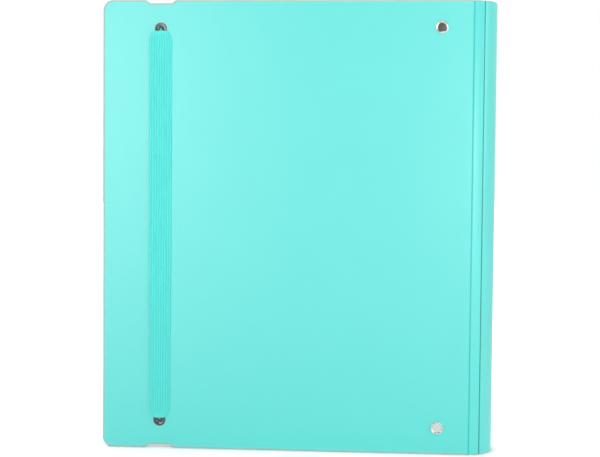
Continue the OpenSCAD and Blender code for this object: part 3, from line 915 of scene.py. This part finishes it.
def band_tree(yarn, ground):
    """Lays ribs and the web between them along a path that dips into an eyelet at both ends."""
    tree, given = new_tree(
        "ribbed_band", Int=["Ribs"], Vector=["Lower End", "Upper End"],
        Float=["Width", "Rib", "Web", "Tail", "Lower Neck", "Upper Neck", "Lower Gather", "Upper Gather",
               "Inside", "Rim", "Rim Drop", "Reach", "Lean"])
    steps = 260
    web_columns = 19
    crowding_power = 1.7
    # The bend out of an eyelet, and the lengths along the band to its neck, to the bore's end and off the rim
    bend = 1.6 * MM
    neck_at = 0.8 * MM
    bore_end = 2 * MM
    off_rim = given["Reach"] + 5 * MM
    # How far gathered ribs ride over each other, how strongly they cup in the bore, the share of the tail
    # from which it leans, and the thinnest share of a gathered rib
    ride = 0.15 * MM
    cup = 0.3 / MM
    lean_from = 0.45
    thinnest_rib = 0.55

    # Straight ribs and a straight web, one unit long, side by side across the band
    span = given["Width"] - given["Rib"]
    gaps = given["Ribs"] - 1.0
    pitch = span / gaps
    start = add_node(tree, "ShaderNodeCombineXYZ", {"X": span * -0.5})
    stride = add_node(tree, "ShaderNodeCombineXYZ", {"X": pitch})
    line = add_node(tree, "GeometryNodeCurvePrimitiveLine", {"End": (0, 0, 1)})
    fine = add_node(tree, "GeometryNodeResampleCurve", {"Curve": line.outputs["Curve"], "Count": steps})
    row = in_a_row(tree, fine.outputs["Curve"], given["Ribs"], start.outputs[0], stride.outputs[0])
    ribs = add_node(tree, "GeometryNodeRealizeInstances", {"Geometry": row})
    web_size = add_node(tree, "ShaderNodeCombineXYZ", {"X": span, "Y": given["Web"], "Z": 1.0})
    web = add_node(tree, "GeometryNodeMeshCube", {
        "Size": web_size.outputs[0], "Vertices X": web_columns, "Vertices Y": 2, "Vertices Z": steps})
    raised = add_node(tree, "GeometryNodeTransform", {
        "Geometry": web.outputs["Mesh"], "Translation": (0, 0, 0.5)})

    # Distance from the nearer end, crowded towards the ends where the band bends
    place = Field(tree, add_node(tree, "GeometryNodeInputPosition").outputs["Position"])
    across, thick, unit = (place.through(PARTS, output=axis) for axis in "XYZ")
    lower_z, upper_z = (given[end].through(PARTS, output="Z") for end in ("Lower End", "Upper End"))
    distance = upper_z - lower_z
    rise = given["Inside"] - given["Rim"]
    length = distance + rise * 2.0
    near = (unit * 2.0).through(MATH, {1: 1.0}, operation="PINGPONG")
    along = near.through(MATH, {1: crowding_power}, operation="POWER") * (length * 0.5)
    run = (along - rise).through(MATH, {1: 0.0, 2: bend}, operation="SMOOTH_MAX")
    climb = along.through(MATH, {1: rise, 2: bend}, operation="SMOOTH_MIN")
    is_upper = unit.through(MATH, {1: 0.5}, operation="GREATER_THAN")
    side = is_upper * -2.0 + 1.0
    # Shares of the way to the neck, out of the bore, down from the rim, and up to where the lean ends
    at_neck, out_of_bore, down, straight = (
        value.through(RANGE, {"From Min": low, "From Max": high}, interpolation_type="SMOOTHSTEP")
        for value, low, high in ((run, 0.0, neck_at), (run, 0.0, bore_end), (run, given["Reach"], off_rim),
                                 (climb, rise * lean_from, rise)))

    # Width: the tail fills the bore, the neck sits on the rim, and round shoulders lead to the full width
    neck_w, gather = (
        is_upper * (given["Upper " + size] - given["Lower " + size]) + given["Lower " + size]
        for size in ("Neck", "Gather"))
    neck = (neck_w - given["Rib"]) / span
    tail = (given["Tail"] - given["Rib"]) / span
    narrow = run.through(RANGE, {
        "From Min": neck_at, "From Max": gather + neck_at, "To Min": 1.0, "To Max": 0.0})
    shoulder = 1.0 - narrow * narrow
    width = tail + (at_neck * (neck - tail) + shoulder * (1.0 - neck))

    # Gathered ribs ride over each other in turn, and cup inside the bore
    number = (across / pitch + gaps * 0.5).through(MATH, operation="ROUND")
    turn = number.through(MATH, {1: 2.0}, operation="MODULO") - 0.5
    ride_over = turn * (1.0 - width) * out_of_bore
    aside = (across * width).through(MATH, operation="ABSOLUTE")
    in_tail = aside.through(MATH, {1: given["Tail"] * 0.5}, operation="MINIMUM")
    bunch = in_tail * in_tail * -cup * (1.0 - out_of_bore)

    level = given["Inside"] - climb + down * given["Rim Drop"]
    lean = (1.0 - straight) * given["Lean"]
    x = across * width + given["Lower End"].through(PARTS, output="X")
    y = level + thick + ride_over * -ride
    z = side * (run + bunch - lean) + (lower_z + is_upper * distance)
    laid = add_node(tree, "ShaderNodeCombineXYZ", {"X": x, "Y": y, "Z": z}).outputs["Vector"]
    shares = width.through(MATH, {1: thinnest_rib}, operation="MAXIMUM")

    rib_paths, web_laid = (
        add_node(tree, "GeometryNodeSetPosition", {"Geometry": flat.outputs[0], "Position": laid})
        for flat in (ribs, raised))
    round_ribs = tubes(tree, rib_paths.outputs[0], given["Rib"], 12, shares)
    close_tree(tree, (round_ribs, yarn), (web_laid.outputs[0], ground))
    return tree


class FOLDER_OT_band(bpy.types.Operator):
    """Make the ribbed elastic band between the eyelets"""
    bl_idname = "folder.make_band"
    bl_label = "Make band"

    def execute(self, context):
        sizes = context.scene.folder_sizes
        yarn = finish_of(context, woven_elastic, "band")
        # The web between the ribs takes a colour darkened as painted shade
        ground = finish_of(context, elastic_ground, "band")
        low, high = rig.box("lower_eyelet")
        rim = BACK_LOW.y - low.y
        # The band enters a bore beside its middle, on the side that it comes from
        dip = Vector((0, 0, 1.7 * MM))
        values = {
            "Ribs": sizes.ribs, "Width": BAND_HIGH.x - BAND_LOW.x, "Rib": sizes.rib_d, "Web": sizes.web_t,
            "Tail": sizes.tail_w, "Lower Neck": sizes.lower_neck_w, "Upper Neck": sizes.upper_neck_w,
            "Lower Gather": sizes.lower_gather, "Upper Gather": sizes.upper_gather,
            "Lower End": LOWER_EYELET + dip, "Upper End": UPPER_EYELET - dip,
            "Inside": BAND_HIGH.y, "Rim": BAND_LOW.y + sizes.rib_d / 2, "Rim Drop": rim,
            "Reach": (high.x - low.x) / 2 - dip.z, "Lean": dip.z}
        seed = bpy.data.meshes.new("band_seed")
        band = grown("ribbed_band", seed, band_tree(yarn, ground), values)
        settle(band, "back", BAND_SLOT, "elastic_band")
        return {"FINISHED"}


def ring_tree(finish):
    """Sweeps wire along the seed paths, thinned where they say so, and repeats it up the housing."""
    tree, given = new_tree("ring_row", Float=["Wire"], Int=["Count"], Vector=["First", "Pitch"])
    thickness = add_node(tree, "GeometryNodeInputNamedAttribute", {"Name": "thickness"}, data_type="FLOAT")
    paths = add_node(tree, "GeometryNodeMeshToCurve", {"Mesh": given["Geometry"]})
    wire = tubes(tree, paths.outputs["Curve"], given["Wire"], 24, thickness.outputs["Attribute"])
    rings = in_a_row(tree, wire, given["Count"], given["First"], given["Pitch"])
    close_tree(tree, (rings, finish))
    return tree


def ring_seed(name, chains):
    """Seed mesh of paths, each a list of (place, thickness) and whether it closes on itself."""
    places, thickness, edges = [], [], []
    for chain, closed in chains:
        first, count = len(places), len(chain)
        places += [place for place, share in chain]
        thickness += [share for place, share in chain]
        edges += [(first + i, first + (i + 1) % count) for i in range(count if closed else count - 1)]
    seed = bpy.data.meshes.new(name)
    seed.from_pydata(places, edges, [])
    seed.attributes.new("thickness", "FLOAT", "POINT").data.foreach_set("value", thickness)
    return seed


class FOLDER_OT_rings(bpy.types.Operator):
    """Make the ring halves: pegs on the spine side, sockets on the free edge side"""
    bl_idname = "folder.make_rings"
    bl_label = "Make rings"

    def execute(self, context):
        sizes = context.scene.folder_sizes
        finish = finish_of(context, nickel_plate, "nickel")
        low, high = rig.box("middle_spine_side_ring")
        mid_x = LOWER_RIVET.x
        wire_r = sizes.wire_d / 2
        ring_r = high.x - mid_x - wire_r
        heart = Vector((0, high.y - wire_r - ring_r))
        stub = sizes.stub_d / sizes.wire_d
        peg = sizes.peg_d / sizes.wire_d

        # The elbow leads from the upright leg into the ring without a kink
        elbow_x = sizes.leg_inset + sizes.elbow_r
        turn = math.asin(elbow_x / (ring_r + sizes.elbow_r))
        elbow = Vector((elbow_x, heart.y - (ring_r + sizes.elbow_r) * math.cos(turn)))
        stub_end = elbow.y - 0.1 * MM
        leg = [(Vector((sizes.leg_inset, v)), stub) for v in (low.y, stub_end)]
        bend = arc(elbow, sizes.elbow_r, math.pi, math.pi / 2 + turn, 10)[:-1]

        # The wire is blunt round its peg, the peg's end is round, and the socket's lip leaves it some play
        tip_turn = math.pi / 2 - math.asin(sizes.tip_gap / 2 / ring_r)
        tip = heart + ring_r * Vector((math.cos(tip_turn), math.sin(tip_turn)))
        on = Vector((-math.sin(tip_turn), math.cos(tip_turn)))
        out = Vector((on.y, -on.x))
        peg_ends = ((-0.8, 1), (0.8, 1), (1.0, 0.9), (1.15, 0.65), (1.2, 0.35))
        peg_path = [((tip + on * along * MM).to_3d(), peg * share) for along, share in peg_ends]
        play = 0.2
        lip_r = (1 - peg - play) * wire_r / 2
        mouth_r = wire_r - lip_r
        lip_steps = 24
        lip_path = []
        for k in range(lip_steps):
            a = 2 * math.pi * k / lip_steps
            place = (tip - on * lip_r + out * mouth_r * math.cos(a)).to_3d()
            lip_path.append((place + Vector((0, 0, mouth_r * math.sin(a))), lip_r / wire_r))
        blunt_end = (tip + on * 0.02 * MM, 0.96)

        rows = [middle(level + "_spine_side_ring").z for level in LEVELS]
        values = {"Wire": sizes.wire_d, "Count": len(rows), "First": Vector((0, 0, rows[0])),
                  "Pitch": Vector((0, 0, rows[1] - rows[0]))}
        sides = (("spine_side", 1, 0.0, [blunt_end], (peg_path, False)),
                 ("edge_side", -1, lip_r, [], (lip_path, True)))
        for side, sign, short, last, end in sides:
            half = arc(heart, ring_r, turn - math.pi / 2, tip_turn - short / ring_r, 48)
            wire = leg + [(p, 1.0) for p in bend + half] + last
            chains = ([(p.to_3d(), share) for p, share in wire], False), end
            placed = [([(Vector((mid_x + sign * p.x, p.y, p.z)), share) for p, share in chain], closed)
                      for chain, closed in chains]
            rings = grown(side + "_rings", ring_seed(side + "_paths", placed), ring_tree(finish), values)
            nodes = [level + "_" + side + "_ring" for level in LEVELS]
            settle(rings, side + "_jaw", NICKEL_SLOT, *nodes)
        return {"FINISHED"}


class FOLDER_OT_ring_metal(bpy.types.Operator):
    """Finish the ring metal inside the folder"""
    bl_idname = "folder.make_ring_metal"
    bl_label = "Finish ring metal"

    def execute(self, context):
        nickel = finish_of(context, nickel_plate, "nickel")
        zinc = finish_of(context, zinc_plate, "zinc")
        for name, node in NODES.items():
            if node.hide_render:
                continue
            dull = name.endswith(("_blade", "_pin"))
            node.data.materials.clear()
            node.data.materials.append(zinc if dull else nickel)
        return {"FINISHED"}


class FOLDER_OT_stage(bpy.types.Operator):
    """Set up the studio: floor, light and camera"""
    bl_idname = "folder.make_stage"
    bl_label = "Make stage"

    def execute(self, context):
        scene = context.scene
        scene.view_settings.view_transform = "Standard"

        bm = bmesh.new()
        bmesh.ops.create_grid(bm, x_segments=1, y_segments=1, size=FLOOR_HALF)
        floor = new_piece("studio_floor", bm, finish_of(context, studio_floor, "floor"))
        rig.stage(floor)

        for name, place, size, power in LIGHTS:
            lamp = bpy.data.lights.new(name, "AREA")
            lamp.shape = "SQUARE"
            lamp.size = size
            lamp.energy = power
            light = bpy.data.objects.new(name, lamp)
            light.location = place
            light.rotation_euler = (LIGHT_AIM - Vector(place)).to_track_quat("-Z", "Y").to_euler()
            scene.collection.objects.link(light)
            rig.stage(light)

        world = bpy.data.worlds.new("studio")
        scene.world = world
        world.use_nodes = True
        tree = world.node_tree
        tree.nodes.clear()
        # The room is dim behind the camera, brighter beside the folder, and bright behind it
        direction = add_node(tree, "ShaderNodeTexCoord").outputs["Generated"]
        toward = Field(tree, direction).through(PARTS, output="Y")
        room = ROOM_FRONT
        for start, end, brighter in ((-1.0, -0.1, ROOM_SIDE), (0.0, 0.6, ROOM_BACK)):
            room = toward.through(RANGE, {
                "From Min": start, "From Max": end, "To Min": room, "To Max": brighter},
                interpolation_type="SMOOTHSTEP")
        rays = add_node(tree, "ShaderNodeLightPath")
        strength = add_node(tree, "ShaderNodeMix", {
            "Factor": rays.outputs["Is Camera Ray"], "A": room, "B": 1.0})
        light = add_node(tree, "ShaderNodeBackground", {
            "Color": (1, 1, 1, 1), "Strength": strength.outputs["Result"]})
        add_node(tree, "ShaderNodeOutputWorld", {"Surface": light.outputs["Background"]})

        lens = bpy.data.cameras.new("camera")
        lens.lens = LENS
        lens.sensor_width = SENSOR_W
        lens.clip_end = 50
        camera = bpy.data.objects.new("camera", lens)
        # The camera's axes run right, up and backwards from the camera
        turn = (Matrix.Rotation(CAMERA_YAW, 4, "Z") @ Matrix.Rotation(CAMERA_PITCH, 4, "X")
                @ Matrix.Rotation(CAMERA_ROLL, 4, "Y") @ Matrix.Rotation(math.pi / 2, 4, "X"))
        camera.matrix_world = Matrix.Translation(CAMERA_PLACE) @ turn
        scene.collection.objects.link(camera)
        scene.camera = camera
        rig.stage(camera)
        return {"FINISHED"}


class FOLDER_PT_panel(bpy.types.Panel):
    """Sizes, colours and steps of the folder"""
    bl_idname = "FOLDER_PT_panel"
    bl_label = "Ring folder"
    bl_space_type = "VIEW_3D"
    bl_region_type = "UI"
    bl_category = "Folder"

    def draw(self, context):
        scene = context.scene
        for group in (scene.folder_sizes, scene.folder_colours):
            column = self.layout.column(align=True)
            for name in group.__annotations__:
                column.prop(group, name)
        steps = self.layout.column(align=True)
        for operator in OPERATORS:
            steps.operator(operator.bl_idname)


OPERATORS = (
    FOLDER_OT_stage, FOLDER_OT_covers, FOLDER_OT_spine, FOLDER_OT_creases, FOLDER_OT_eyelets,
    FOLDER_OT_rivets, FOLDER_OT_band, FOLDER_OT_rings, FOLDER_OT_ring_metal)
CLASSES = (FolderSizes, FolderColours, *OPERATORS, FOLDER_PT_panel)


def register():
    for cls in CLASSES:
        bpy.utils.register_class(cls)
    bpy.types.Scene.folder_sizes = PointerProperty(type=FolderSizes)
    bpy.types.Scene.folder_colours = PointerProperty(type=FolderColours)


def unregister():
    del bpy.types.Scene.folder_colours
    del bpy.types.Scene.folder_sizes
    for cls in reversed(CLASSES):
        bpy.utils.unregister_class(cls)


def main():
    register()
    bpy.ops.folder.make_stage()
    bpy.ops.folder.make_covers()
    bpy.ops.folder.make_spine()
    bpy.ops.folder.make_creases()
    bpy.ops.folder.make_eyelets()
    bpy.ops.folder.make_rivets()
    bpy.ops.folder.make_band()
    bpy.ops.folder.make_rings()
    bpy.ops.folder.make_ring_metal()
    boxes = {"cad": CAD_BOX, "visual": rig.bounds()}
    with open("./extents.json", "w") as out:
        json.dump({name: [list(corner) for corner in box] for name, box in boxes.items()}, out)


if __name__ == "__main__":
    main()
